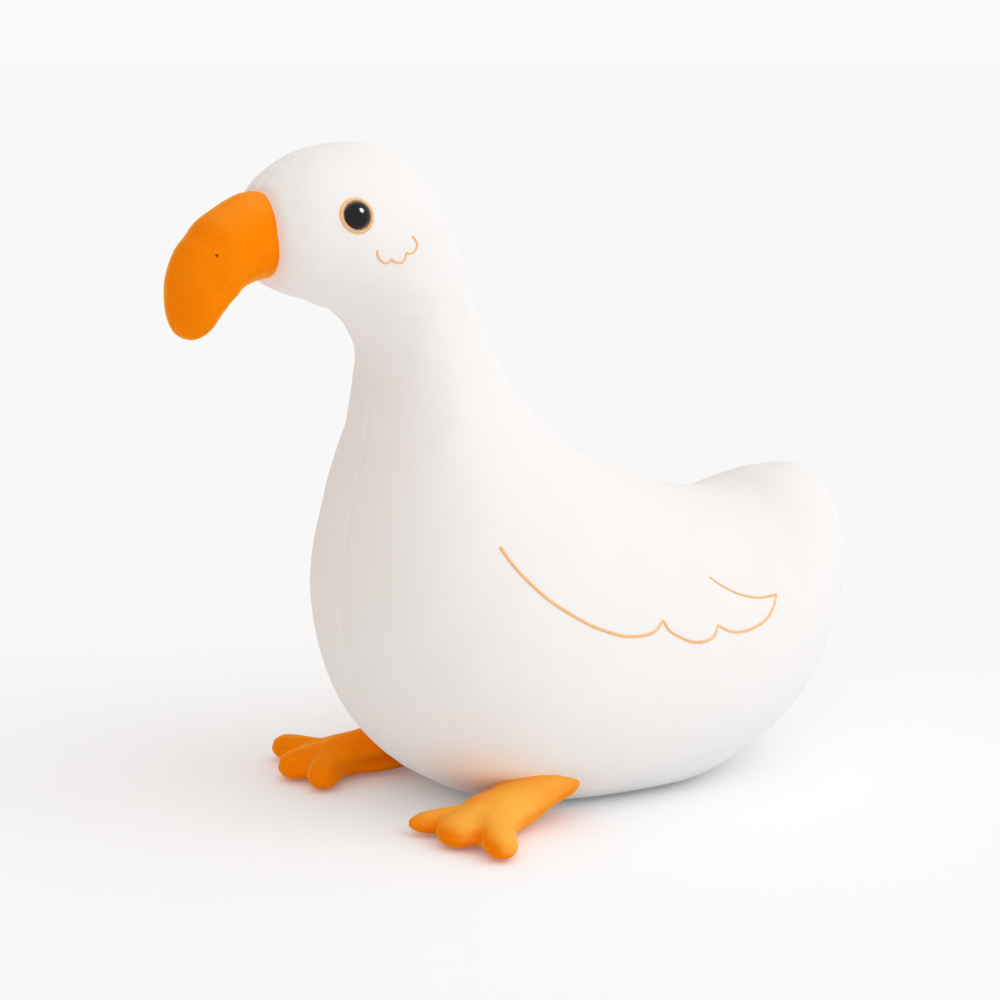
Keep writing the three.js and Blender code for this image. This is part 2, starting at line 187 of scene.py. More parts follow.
cad_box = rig.bounds()
rng = np.random.default_rng(7)
MM = 0.001
LENGTH, HEIGHT = 489.0, 395.0
SIDES = {"left": -1, "right": 1}

# Ribs of the cover and the beak: x and z of the top, x and z of the bottom,
# in percent of the length and the height, and half the width in mm
COVER_RIBS = [
    (49.1, 27.3, 49.1, 27.3, 0.0),
    (48.7, 36.2, 47.9, 19.5, 28.4),
    (45.2, 43.5, 42.3, 12.7, 49.0),
    (38.4, 44.3, 33.1, 5.6, 80.8),
    (29.9, 42.3, 22.5, 0.0, 102.4),
    (19.6, 44.6, 9.8, -3.5, 109.0),
    (7.8, 50.4, -10.4, 0.0, 106.9),
    (0.0, 56.2, -23.3, 10.9, 97.1),
    (-4.5, 61.5, -29.0, 27.8, 78.9),
    (-7.8, 66.8, -28.2, 43.5, 60.7),
    (-10.2, 73.2, -25.6, 56.7, 46.0),
    (-12.3, 80.0, -24.5, 68.4, 39.0),
    (-14.7, 87.3, -27.8, 74.9, 41.1),
    (-18.8, 95.7, -31.9, 77.5, 46.2),
    (-25.4, 99.7, -35.8, 79.2, 47.5),
    (-33.1, 99.0, -38.7, 81.0, 41.3),
    (-38.7, 94.9, -40.1, 83.8, 26.1),
    (-40.7, 89.1, -40.7, 89.1, 0.0),
]
BEAK_RIBS = [
    (-33.9, 87.6, -33.9, 87.6, 0.0),
    (-36.3, 92.5, -36.4, 81.0, 19.83),
    (-40.7, 93.6, -39.4, 81.6, 24.06),
    (-45.6, 90.8, -42.7, 80.5, 26.3),
    (-48.0, 88.0, -44.0, 79.0, 25.33),
    (-49.3, 86.2, -45.4, 77.0, 22.64),
    (-50.3, 83.2, -46.8, 74.9, 20.54),
    (-50.7, 79.9, -48.2, 74.0, 14.73),
    (-50.6, 77.2, -49.4, 74.4, 7.07),
    (-50.1, 75.5, -50.1, 75.5, 0.0),
]
COVER_SAG = 0.12
BEAK_SAG = 0.13

# Forms


def catmull(points, t):
    """A uniform Catmull-Rom line through points at shares t of its length."""
    p = np.asarray(points, float)
    u = np.clip(t, 0, 1) * (len(p) - 1)
    i = np.minimum(u.astype(int), len(p) - 2)
    w = (u - i)[:, None]
    ext = np.vstack([2 * p[0] - p[1], p, 2 * p[-1] - p[-2]])
    p0, p1, p2, p3 = ext[i], ext[i + 1], ext[i + 2], ext[i + 3]
    t0, t1 = 0.5 * (p2 - p0), 0.5 * (p3 - p1)
    return (2 * p1 - 2 * p2 + t0 + t1) * w**3 + (3 * p2 - 3 * p1 - 2 * t0 - t1) * w**2 + t0 * w + p1


def around(count):
    """Even angles round a full turn."""
    return np.linspace(0, 2 * np.pi, count, endpoint=False)


def ramp(value, start, end):
    """0 up to the start, 1 from the end on and even between them."""
    return np.clip((value - start) / (end - start), 0, 1)


def percent_ribs(ribs):
    r = np.array(ribs, float)
    r[:, [0, 2]] *= LENGTH / 100
    r[:, [1, 3]] *= HEIGHT / 100
    return r * MM


def loft(ribs, rows, angles, sag=0.0):
    """Points of an oval loft as a (rows + 1, angles, 3) grid; its first and last rows are poles."""
    r = catmull(ribs, np.linspace(0, 1, rows + 1))
    rise = np.cos(angles) - sag * np.sin(angles) ** 2
    x = ((r[:, 0] + r[:, 2]) / 2)[:, None] + ((r[:, 0] - r[:, 2]) / 2)[:, None] * rise
    z = ((r[:, 1] + r[:, 3]) / 2)[:, None] + ((r[:, 1] - r[:, 3]) / 2)[:, None] * rise
    y = r[:, 4][:, None] * np.sin(angles)
    return np.stack([x, y, z], 2)


def new_mesh(name, verts, faces):
    mesh = bpy.data.meshes.new(name)
    mesh.from_pydata([tuple(v) for v in verts], [], faces)
    mesh.update()
    obj = bpy.data.objects.new(name, mesh)
    bpy.context.scene.collection.objects.link(obj)
    smooth(obj)
    return obj


def grid_mesh(name, grid):
    """A closed mesh object from a loft's grid."""
    rows, sides = grid.shape[0] - 1, grid.shape[1]
    verts = np.vstack([grid[0, :1], grid[1:rows].reshape(-1, 3), grid[rows, :1]])
    last = len(verts) - 1

    def ring(row, k):
        return 1 + (row - 1) * sides + k % sides

    faces = []
    for k in range(sides):
        faces.append((0, ring(1, k + 1), ring(1, k)))
        faces.append((last, ring(rows - 1, k), ring(rows - 1, k + 1)))
        for row in range(1, rows - 1):
            faces.append((ring(row, k), ring(row, k + 1), ring(row + 1, k + 1), ring(row + 1, k)))
    return new_mesh(name, verts, faces)


def tube_faces(rings, sides, first, closed):
    """Faces of a tube whose points start at a number, ring after ring; an open tube has end caps."""
    faces = []
    for i in range(rings if closed else rings - 1):
        here, ahead = first + i * sides, first + (i + 1) % rings * sides
        for k in range(sides):
            after = (k + 1) % sides
            faces.append((here + k, here + after, ahead + after, ahead + k))
    if not closed:
        faces.append(tuple(first + k for k in reversed(range(sides))))
        faces.append(tuple(first + (rings - 1) * sides + k for k in range(sides)))
    return faces


def face_outward(obj):
    """Turns all faces of a closed mesh to its outside."""
    bm = bmesh.new()
    bm.from_mesh(obj.data)
    bmesh.ops.recalc_face_normals(bm, faces=bm.faces)
    bm.to_mesh(obj.data)
    bm.free()


# Points of a mesh

STEP_BACK = 1.04
LIP_PLACE, LIP_SPREAD = 2.1, 0.8
# Height, pitch and shift of the second wave of gathers beside the first
SECOND_HEIGHT, SECOND_PITCH, SECOND_SHIFT = 0.6, 1.7, 1.3


def smooth(obj):
    obj.data.polygons.foreach_set("use_smooth", np.ones(len(obj.data.polygons), bool))
    obj.data.update()


def coords(obj):
    co = np.zeros(len(obj.data.vertices) * 3, np.float32)
    obj.data.vertices.foreach_get("co", co)
    return co.reshape(-1, 3).astype(float)


def normals(obj):
    no = np.zeros(len(obj.data.vertices) * 3, np.float32)
    obj.data.vertices.foreach_get("normal", no)
    return no.reshape(-1, 3).astype(float)


def set_coords(obj, co):
    obj.data.vertices.foreach_set("co", np.asarray(co, np.float32).ravel())
    obj.data.update()


def settle(co, soft=0.004):
    """Rests points on the floor: what lies below flattens smoothly to z = 0."""
    z = co[:, 2]
    co[:, 2] = np.where(z < soft, soft * np.exp((np.minimum(z, soft) - soft) / soft), z)
    return co


def edge_ends(obj):
    """The first and the second point of every edge."""
    ends = np.zeros(len(obj.data.edges) * 2, np.int32)
    obj.data.edges.foreach_get("vertices", ends)
    return ends.reshape(-1, 2).T


def neighbour_mean(values, a, b):
    """The mean of each point's neighbours along the edges a to b."""
    total = np.zeros_like(values)
    np.add.at(total, a, values[b])
    np.add.at(total, b, values[a])
    count = np.bincount(np.r_[a, b], minlength=len(values))
    return (total.T / count).T


def relax(obj, rounds, share=0.5):
    """Laplacian smoothing of a mesh, with the volume kept by a step back."""
    a, b = edge_ends(obj)
    co = coords(obj)
    for step in range(2 * rounds):
        pull = share if step % 2 == 0 else -STEP_BACK * share
        co = co + pull * (neighbour_mean(co, a, b) - co)
    set_coords(obj, co)


def blurred(obj, values, rounds):
    """Values at an object's points, evened out along its edges."""
    a, b = edge_ends(obj)
    for _ in range(rounds):
        values = 0.5 * (values + neighbour_mean(values, a, b))
    return values


def tree_of(obj):
    """A search tree of an object's surface."""
    points = [v.co for v in obj.data.vertices]
    return BVHTree.FromPolygons(points, [p.vertices[:] for p in obj.data.polygons])


def near(tree, co, reach):
    """Distance of each point from a surface, up to a reach."""
    found = np.full(len(co), reach)
    for i, c in enumerate(co):
        hit = tree.find_nearest(Vector(c), reach)
        if hit[0] is not None:
            found[i] = hit[3]
    return found


def on_side(tree, x, z, side):
    """Where a sideways line at x, z first meets a surface, and the normal there."""
    hit, normal, _, _ = tree.ray_cast(Vector((x, side, z)), Vector((0, -side, 0)))
    return np.array(hit), np.array(normal)


def line_near(co, line):
    """Distance of each point from a line, and the share of the line's length at the nearest place."""
    lengths = np.linalg.norm(np.diff(line, axis=0), axis=1)
    passed = np.r_[0, np.cumsum(lengths)]
    best, share = np.full(len(co), np.inf), np.zeros(len(co))
    for k, (p, q) in enumerate(zip(line[:-1], line[1:])):
        d = q - p
        t = np.clip(((co - p) @ d) / (d @ d), 0, 1)
        far = np.linalg.norm(co - p - t[:, None] * d, axis=1)
        closer = far < best
        best[closer] = far[closer]
        share[closer] = ((passed[k] + t * lengths[k]) / passed[-1])[closer]
    return best, share


def dent(distance, depth, width, lips=0.35):
    """A valley of that depth with a low lip on each side."""
    s = distance / width
    return -depth * np.exp(-s**2) + lips * depth * np.exp(-((s - LIP_PLACE) ** 2) / LIP_SPREAD)


def pucker(along, across, depth, pitch=0.0085, width=0.007):
    """Small gathers beside a seam, as two waves of different pitch."""
    wave = np.sin(2 * np.pi * along / pitch)
    wave += SECOND_HEIGHT * np.sin(2 * np.pi * along / (SECOND_PITCH * pitch) + SECOND_SHIFT)
    return depth * wave * np.exp(-((across / width) ** 2))


def apply(obj, kind, **settings):
    modifier = obj.modifiers.new(kind.lower(), kind)
    for key, value in settings.items():
        setattr(modifier, key, value)
    bpy.ops.object.select_all(action="DESELECT")
    obj.select_set(True)
    bpy.context.view_layer.objects.active = obj
    bpy.ops.object.modifier_apply(modifier=modifier.name)
    smooth(obj)


def join(name, objects):
    bpy.ops.object.select_all(action="DESELECT")
    for o in objects:
        o.select_set(True)
    bpy.context.view_layer.objects.active = objects[0]
    bpy.ops.object.join()
    objects[0].name = name
    objects[0].data.name = name
    return objects[0]


# Cloth blown up from inside, as the stuffing does

CLOTH_FRAMES = 20
CLOTH_QUALITY = 6
CLOTH_PRESSURE = 4.0
RELIEF_SHARE = 0.4
RELIEF_BROAD, RELIEF_FINE = 40, 2


def pressed(obj, pins, slack):
    """Where the points of a closed cloth end up under pressure from inside; the pinned points hold."""
    sewn = obj.vertex_groups.new(name="sewn")
    sewn.add([int(i) for i in np.flatnonzero(pins)], 1.0, "REPLACE")
    modifier = obj.modifiers.new("cloth", "CLOTH")
    cloth = modifier.settings
    cloth.quality = CLOTH_QUALITY
    cloth.use_pressure = True
    cloth.uniform_pressure_force = CLOTH_PRESSURE
    cloth.effector_weights.gravity = 0
    cloth.vertex_group_mass = sewn.name
    cloth.shrink_min = -slack
    modifier.collision_settings.use_collision = False
    modifier.point_cache.frame_end = CLOTH_FRAMES
    scene = bpy.context.scene
    for step in range(1, CLOTH_FRAMES + 1):
        scene.frame_set(step)
    end = coords(obj.evaluated_get(bpy.context.evaluated_depsgraph_get()))
    obj.modifiers.remove(modifier)
    obj.vertex_groups.remove(sewn)
    scene.frame_set(1)
    return end


def cloth_relief(ribs, rows, sides, sag, sewn, inset, slack, cap):
    """Puffs and gathers of pressed cloth over a loft's even form, as a (rows + 1, sides) grid of heights."""
    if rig.quick():
        return np.zeros((rows + 1, sides))
    trial = grid_mesh("trial", loft(ribs, rows, around(sides), sag))
    co, out = coords(trial), normals(trial)
    start = co - inset * out
    set_coords(trial, start)
    rise = ((pressed(trial, sewn(co), slack) - start) * out).sum(1)
    rise = RELIEF_SHARE * blurred(trial, rise - blurred(trial, rise, RELIEF_BROAD), RELIEF_FINE)
    rise = cap * np.tanh(rise / cap)
    bpy.data.objects.remove(trial)
    between = rise[1:-1].reshape(rows - 1, sides)
    return np.vstack([np.full(sides, rise[0]), between, np.full(sides, rise[-1])])


def resampled(field, rows, angles):
    """A grid of heights read at other rows and angles, as one height for each point of a loft's mesh."""
    tall = catmull(field, np.linspace(0, 1, rows + 1))
    # two columns more before the first and three after the last, so that the ring closes
    ring = np.hstack([tall[:, -2:], tall, tall[:, :3]])
    share = (angles / (2 * np.pi) * field.shape[1] + 2) / (ring.shape[1] - 1)
    fine = catmull(ring.T, share).T
    return np.r_[fine[0, 0], fine[1:-1].ravel(), fine[-1, 0]]


# Materials

MOTTLE_SPAN = (0.3, 0.7)
GRAIN_SPAN, GRAIN_MOST = (0.42, 0.78), 0.55
# How the painted rim sheen pales the base colour: where it starts, as a share of facing away from the camera, and the
# most it pales
RIM_START, RIM_MOST = 0.5, 0.75
PILE_ROUGHNESS = (0.82, 1.0)
PILE_BUMP, PILE_HEIGHT = 0.28, 0.0009
FIBRE_BUMP, FIBRE_HEIGHT = 0.35, 0.0003
STRAND_SPAN = (0.12, 0.36)
STRAND_BUMP, STRAND_HEIGHT = 0.12, 0.0002
SMEAR_GAIN = 1.5


class Nodes:
    """Makes and links the nodes of a material or a world."""

    def __init__(self, owner):
        self.tree = owner.node_tree

    def make(self, kind, **settings):
        """A new node with its inputs and its own settings."""
        node = self.tree.nodes.new(kind)
        for key, value in settings.items():
            if key in node.inputs:
                node.inputs[key].default_value = value
            else:
                setattr(node, key, value)
        return node

    def feed(self, node, inputs):
        """Gives a node's inputs their constants, or the sockets that they follow."""
        for key, value in inputs.items():
            if isinstance(value, bpy.types.NodeSocket):
                self.tree.links.new(value, node.inputs[key])
            else:
                node.inputs[key].default_value = value

    def noise(self, **settings):
        """Noise that is fixed to the object, in waves a metre."""
        node = self.make("ShaderNodeTexNoise", **settings)
        self.feed(node, {"Vector": self.make("ShaderNodeTexCoord").outputs["Object"]})
        return node.outputs["Fac"]

    def ranged(self, value, span=(0.0, 1.0), result=(0.0, 1.0), kind="LINEAR"):
        """A value brought from one span to another."""
        node = self.make("ShaderNodeMapRange", interpolation_type=kind)
        self.feed(node, {"Value": value, "From Min": span[0], "From Max": span[1]})
        self.feed(node, {"To Min": result[0], "To Max": result[1]})
        return node.outputs["Result"]

    def mixed(self, factor, a, b):
        """Two colours mixed by a factor."""
        node = self.make("ShaderNodeMix", data_type="RGBA")
        self.feed(node, {"Factor": factor, "A": a, "B": b})
        return node.outputs["Result"]

    def combined(self, operation, a, b):
        """Two values put together by an operation."""
        node = self.make("ShaderNodeMath", operation=operation)
        self.feed(node, {0: a, 1: b})
        return node.outputs["Value"]

    def bump(self, height, strength, distance):
        """A node whose normal follows a height."""
        node = self.make("ShaderNodeBump", Strength=strength, Distance=distance)
        self.feed(node, {"Height": height})
        return node


def blank(name):
    """A new material, its shader and its nodes."""
    material = bpy.data.materials.new(name)
    material.use_nodes = True
    return material, material.node_tree.nodes["Principled BSDF"], Nodes(material)


def srgb(r, g, b):
    c = np.array([r, g, b]) / 255
    lin = np.where(c <= 0.04045, c / 12.92, ((c + 0.055) / 1.055) ** 2.4)
    return (*lin, 1.0)


def dress(obj, material):
    obj.data.materials.clear()
    obj.data.materials.append(material)


def plush(name, colour, shade, tip, glow, pile_depth, sheen, painted_glow):
    """Short brushed pile: soft mottling and fine fibre grain. The base colour is painted paler by a painted sheen at
    the rim, as a face turns away from the camera, and by a painted highlight, read from a mesh attribute, on the side
    where the light falls strongest.
    A faint emission in the shade colour is a painted glow, so the pile gives back a little more of its colour than
    falls on it."""
    material, shader, nodes = blank(name)
    drift = nodes.noise(Scale=38.0, Detail=3.0, Roughness=0.55, Distortion=0.4)
    pile = nodes.noise(Scale=820.0, Detail=3.0, Roughness=0.6, Distortion=0.7)
    fibre = nodes.noise(Scale=2400.0, Detail=2.0, Roughness=0.6)
    ground = nodes.mixed(nodes.ranged(drift, MOTTLE_SPAN), shade, colour)
    tips = nodes.mixed(nodes.ranged(pile, GRAIN_SPAN, (0.0, GRAIN_MOST)), ground, tip)
    # Painted sheen at the rim and a painted highlight from a mesh attribute: both make the base colour paler
    slant = nodes.make("ShaderNodeLayerWeight", Blend=0.5).outputs["Facing"]
    painted_rim_sheen = nodes.ranged(slant, (RIM_START, 1.0), (0.0, RIM_MOST), "SMOOTHSTEP")
    painted_highlight = nodes.make("ShaderNodeAttribute", attribute_name="painted_highlight").outputs["Fac"]
    paler = nodes.combined("MAXIMUM", painted_rim_sheen, painted_highlight)
    coarse = nodes.bump(pile, PILE_BUMP * pile_depth, PILE_HEIGHT)
    fine = nodes.bump(fibre, FIBRE_BUMP * pile_depth, FIBRE_HEIGHT)
    nodes.feed(fine, {"Normal": coarse.outputs["Normal"]})
    nodes.feed(shader, {
        "Base Color": nodes.mixed(paler, tips, glow),
        "Roughness": nodes.ranged(pile, result=PILE_ROUGHNESS),
        "Normal": fine.outputs["Normal"],
        "Specular IOR Level": 0.0,
        "Sheen Weight": sheen,
        "Sheen Roughness": 0.5,
        "Sheen Tint": glow,
        # painted glow: the pile emits a little of its shade colour, though it is no lamp
        "Emission Color": shade,
        "Emission Strength": painted_glow,
    })
    return material


def thread(name, colour, painted_shade, sheen):
    """Lustrous embroidery floss: fine strands, with painted shade between them where the strand bump is low, in
    patches that vary at random.
    """
    material, shader, nodes = blank(name)
    strand = nodes.noise(Scale=2600.0, Detail=3.0, Roughness=0.6)
    patch = nodes.noise(Scale=160.0, Detail=2.0)
    # Painted shade: the colour is darker where the strand bump is low, and in random patches
    tone = nodes.ranged(nodes.combined("MULTIPLY", strand, patch), STRAND_SPAN)
    nodes.feed(shader, {
        "Base Color": nodes.mixed(tone, painted_shade, colour),
        "Normal": nodes.bump(strand, STRAND_BUMP, STRAND_HEIGHT).outputs["Normal"],
        "Roughness": 0.5,
        "Specular IOR Level": 0.25,
        "Sheen Weight": sheen,
    })
    return material


def plastic(name, colour, roughness, mirror):
    """Moulded plastic with faint smears in its gloss."""
    material, shader, nodes = blank(name)
    smear = nodes.noise(Scale=230.0, Detail=4.0, Roughness=0.6, Distortion=1.2)
    paler = tuple(min(1, SMEAR_GAIN * c) for c in colour[:3]) + (1,)
    nodes.feed(shader, {
        "Base Color": nodes.mixed(smear, colour, paler),
        "Roughness": nodes.ranged(smear, result=roughness),
        "Specular IOR Level": mirror,
    })
    return material


# Pale colours that the painted rim sheen and the painted highlight move the base colour towards; they also tint the
# real sheen
PALE = srgb(252, 251, 250)
GLOW = srgb(255, 193, 84)
WHITE = plush(
    "white_plush", colour=srgb(250, 248, 246), shade=srgb(248, 246, 243), tip=PALE, glow=PALE,
    pile_depth=0.7, sheen=0.06, painted_glow=0.0,
)
# The orange plush also has a painted glow: a faint emission of its shade colour
ORANGE = plush(
    "orange_plush", colour=srgb(255, 138, 8), shade=srgb(255, 128, 4), tip=srgb(255, 158, 26), glow=GLOW,
    pile_depth=1.3, sheen=0.05, painted_glow=0.05,
)
# Each thread's second colour is the painted shade between its strands
ORANGE_THREAD = thread("orange_thread", colour=srgb(252, 200, 142), painted_shade=srgb(246, 187, 124), sheen=0.2)
BROWN_THREAD = thread("brown_thread", colour=srgb(128, 44, 8), painted_shade=srgb(96, 30, 4), sheen=0.0)
EYE_BLACK = plastic("eye_black", srgb(14, 15, 19), roughness=(0.05, 0.09), mirror=0.24)
WASHER = plastic("washer_plastic", srgb(232, 232, 228), roughness=(0.35, 0.5), mirror=0.5)

# The white cover and the beak

COVER_ROWS, COVER_SIDES = 272, 132
BEAK_ROWS, BEAK_SIDES = 120, 96
COVER = percent_ribs(COVER_RIBS)
BEAK = percent_ribs(BEAK_RIBS)
# Angles beside the centre seam that stand in for the even ones there
SEAM_STEPS = (0.007, 0.018, 0.034)
SEAM_CLEAR = 0.05
HEAD_FRONT = -0.186
BEAK_ROOT = 0.006
CENTRE_WIDTH = 0.0005
BASE_HEIGHT = 0.004


def cover_angles():
    """Even angles round the cover, closer together beside the centre seam."""
    centres = np.array([0, np.pi, 2 * np.pi])
    even = [a for a in around(COVER_SIDES) if np.abs(a - centres).min() > SEAM_CLEAR]
    close = [c + s * d for c in (0, np.pi) for s in (-1, 1) for d in SEAM_STEPS]
    return np.sort(np.mod(np.r_[even, close, 0, np.pi], 2 * np.pi))


def cover_sewn(co):
    """The centre seam, the base and the round where the beak is sewn on."""
    return (np.abs(co[:, 1]) < CENTRE_WIDTH) | (co[:, 2] < BASE_HEIGHT) | (co[:, 0] < HEAD_FRONT)


def beak_sewn(co):
    """The centre seam and what is inside the head."""
    return (np.abs(co[:, 1]) < CENTRE_WIDTH) | (co[:, 0] > HEAD_FRONT - BEAK_ROOT)


COVER_ANGLES = cover_angles()
cover_relief = cloth_relief(
    COVER, rows=136, sides=96, sag=COVER_SAG, sewn=cover_sewn, inset=0.003, slack=0.03, cap=0.0007
)
cover = grid_mesh("goose_cover", loft(COVER, COVER_ROWS, COVER_ANGLES, COVER_SAG))
set_coords(cover, settle(coords(cover)))
relax(cover, rounds=3)
bare_tree = tree_of(cover)

BEAK_ANGLES = around(BEAK_SIDES)
beak_relief = cloth_relief(
    BEAK, rows=40, sides=40, sag=BEAK_SAG, sewn=beak_sewn, inset=0.001, slack=0.02, cap=0.0004
)
beak = grid_mesh("beak_cover", loft(BEAK, BEAK_ROWS, BEAK_ANGLES, BEAK_SAG))
beak_tree = tree_of(beak)

# Legs and feet: one tube and three toes, fused into one skin

HIP = (-24.94, 59.57)
# How each limp leg lies: splay in degrees, length in mm, how far its thigh is hitched up,
# and the length, width, outward angle and slimness of its toes
LIE = {
    "left": (8.5, 65.0, 1.0, [(36, 30, 0, 0), (48, 19, -50, 1), (51, 22, 57, 0)]),
    "right": (16.0, 76.0, 0.0, [(36, 30, 0, 0), (42, 22, -62, 0), (56, 22, 64, 0)]),
}
LEG_SIDES, LEG_ROWS, TOE_ROWS = 36, 48, 36
LEG_VOXEL = 0.0032
LEG_INSET = 0.0012
LEG_SLACK = 0.02
LEG_SWELL_CAP = 0.003
LEG_SOFT = 0.003
HIP_SEWN, SOLE_SEWN = 0.012, 0.002


def leg_ribs(length, hitch):
    """Ribs of a leg that runs forward from its hip at x = 0 and ends in the ball of the foot, in mm."""
    heel, calf, shin = -0.065 * length, -0.333 * length, -0.62 * length
    ankle, foot, end = -0.82 * length, -1.03 * length, -1.287 * length
    return [
        (hitch, 20 + hitch, hitch, 20 + hitch, 0),
        (heel, 29.1 + 7.4 * hitch, heel, 10 + 2 * hitch, 16.45 + 1.55 * hitch),
        (calf, 30 + 13 * hitch, calf, 2.9 + 3.6 * hitch, 18 + hitch),
        (shin, 28.2 + 1.8 * hitch, shin, 1.5 * hitch - 1, 18 - 0.5 * hitch),
        (ankle, 25.2, ankle, -1, 18.55),
        (foot, 21.85, foot, -1, 21.0),
        (end, 9.5, end, 9.5, 0),
    ]


def toe_ribs(length, width, slim):
    """Ribs of a toe that runs forward from the ball of the foot at x = 0, in mm."""
    knuckle, pad, nail = -1.9, -0.55 * length, -0.86 * length
    return [
        (6.3, 9.5, 6.3, 9.5, 0),
        (knuckle, 19.95, knuckle, -1, 0.47 * width),
        (pad, 18.4 - 2.2 * slim, pad, slim - 0.5, 0.5 * width),
        (nail, 15.2 - 3.2 * slim, nail, 1.2 + slim, 0.37 * width),
        (-length, 8.4 - 0.8 * slim, -length, 8.4 - 0.8 * slim, 0),
    ]


def turned(points, degrees, shift):
    a = math.radians(degrees)
    spin = np.array([[math.cos(a), math.sin(a), 0], [-math.sin(a), math.cos(a), 0], [0, 0, 1]])
    return points @ spin + np.array(shift)


def inflate(obj):
    """Blows a leg up from just inside its form; the hip and the sole hold."""
    start = coords(obj) - LEG_INSET * normals(obj)
    set_coords(obj, start)
    sewn = (start[:, 0] > HIP[0] * MM - HIP_SEWN) | (start[:, 2] < SOLE_SEWN)
    moved = pressed(obj, sewn, LEG_SLACK) - start
    far = np.linalg.norm(moved, axis=1)[:, None]
    set_coords(obj, start + moved * np.minimum(1, LEG_SWELL_CAP / np.maximum(far, 1e-9)))


def leg(name, side):
    """The skin of a leg, brought back to its fitted form after it is smoothed and blown up."""
    splay, reach, hitch, toes = LIE[name]
    parts = [loft(np.array(leg_ribs(reach, hitch), float), LEG_ROWS, around(LEG_SIDES))]
    for length, width, angle, slim in toes:
        toe = loft(np.array(toe_ribs(length, width, slim), float), TOE_ROWS, around(LEG_SIDES))
        parts.append(turned(toe, -side * angle, (-reach, 0, 0)))
    objects = []
    for part in parts:
        placed = turned(part, -side * splay, (HIP[0], side * HIP[1], 0))
        objects.append(grid_mesh("part", placed * MM))
    skin = join(f"leg_cover_{name}", objects)
    apply(skin, "REMESH", mode="VOXEL", voxel_size=LEG_VOXEL)
    form = tree_of(skin)
    relax(skin, rounds=5, share=0.6)
    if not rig.quick():
        inflate(skin)
    apply(skin, "SUBSURF", levels=1, render_levels=1)
    relax(skin, rounds=2)
    co, no = coords(skin), normals(skin)
    lost = np.array([(np.array(form.find_nearest(Vector(c))[0]) - c) @ n for c, n in zip(co, no)])
    co += no * blurred(skin, lost, rounds=12)[:, None]
    set_coords(skin, settle(co, LEG_SOFT))
    return skin


legs = {name: leg(name, side) for name, side in SIDES.items()}

# Seams, as the depth and width of a valley and the height of its lips, and the depth of their gathers

SEAM_REACH = 0.02
RELIEF_FADE = (0.004, 0.018)
FLOOR_FADE = (0.003, 0.023)
CENTRE_SEAM, CENTRE_GATHERS, CENTRE_ROUND = (0.0004, 0.0018), 0.00015, 0.2
BASE_SEAM, BASE_GATHERS, BASE_ROUND = (0.00025, 0.0018), 0.00006, 0.11
BASE_SEAM_HEIGHT = 0.026
HEAD_TO_BEAK = (0.0007, 0.0028, 0.2)
HIP_SEAM = (0.0010, 0.0045, 0.2)
BEAK_SEAM = (0.0004, 0.0015, 0.3)
BEAK_HEM, BEAK_HEM_PLACE = (0.0002, 0.0012, 0.5), 0.0055
BEAK_CENTRE = (0.00012, 0.0016, 0.2)
LEG_RIM, LEG_RIM_HEIGHT = (0.0007, 0.0016, 0.3), 0.010
LEG_GATHERS = (0.0001, 0.006, 0.004)
# The right leg is creased along its inner side, from the hip to the ankle
CREASE, CREASE_HEIGHT = (0.0032, 0.0026, 0.5), 0.0105
CREASE_FACING, CREASE_FADE = 0.625, (-0.092, -0.080)

# Folds as points on the left side from the middle outwards, with their depth and width, in mm
FOLD_STEPS = 32
FOLD_LIPS, FOLD_ENDS = 0.5, 0.7
FOLDS = [
    # low, middle and high on the neck
    ([(-119.3, 0, 260), (-118.3, -11.8, 263), (-112.4, -28, 266.6), (-99.9, -39.5, 269.1),
      (-81.7, -41.3, 272.9)], 0.5, 3.2),
    ([(-113.3, -29.5, 283.3), (-99, -38.4, 281.9), (-79.9, -38.8, 282.1)], 0.3, 2.8),
    ([(-134.7, -25.8, 303.5), (-123.7, -35.2, 305.8), (-109.6, -39.1, 305.8),
      (-91.9, -38.3, 305)], 0.4, 3.2),
    # chest, tail and above the beak
    ([(-138, 0, 172.3), (-137.6, -5, 173.4), (-136.2, -15.4, 175.6)], 0.35, 3.5),
    ([(162, 0, 169.2), (161.4, -18, 167.3), (158.8, -34, 162.3)], 0.4, 6.0),
    ([(-189, 0, 375.9), (-186.9, -4.1, 376.9), (-184.5, -10.5, 377.6)], 0.7, 3.0),
]


def fold_lines(points):
    """A fold that starts in the middle as one line over both sides, any other as a line on each side."""
    left = np.array(points, float)
    right = left * (1, -1, 1)
    lines = [np.vstack([right[:0:-1], left])] if left[0, 1] == 0 else [left, right]
    for line in lines:
        touching = np.array([bare_tree.find_nearest(Vector(p * MM))[0] for p in line])
        yield catmull(touching, np.linspace(0, 1, FOLD_STEPS))


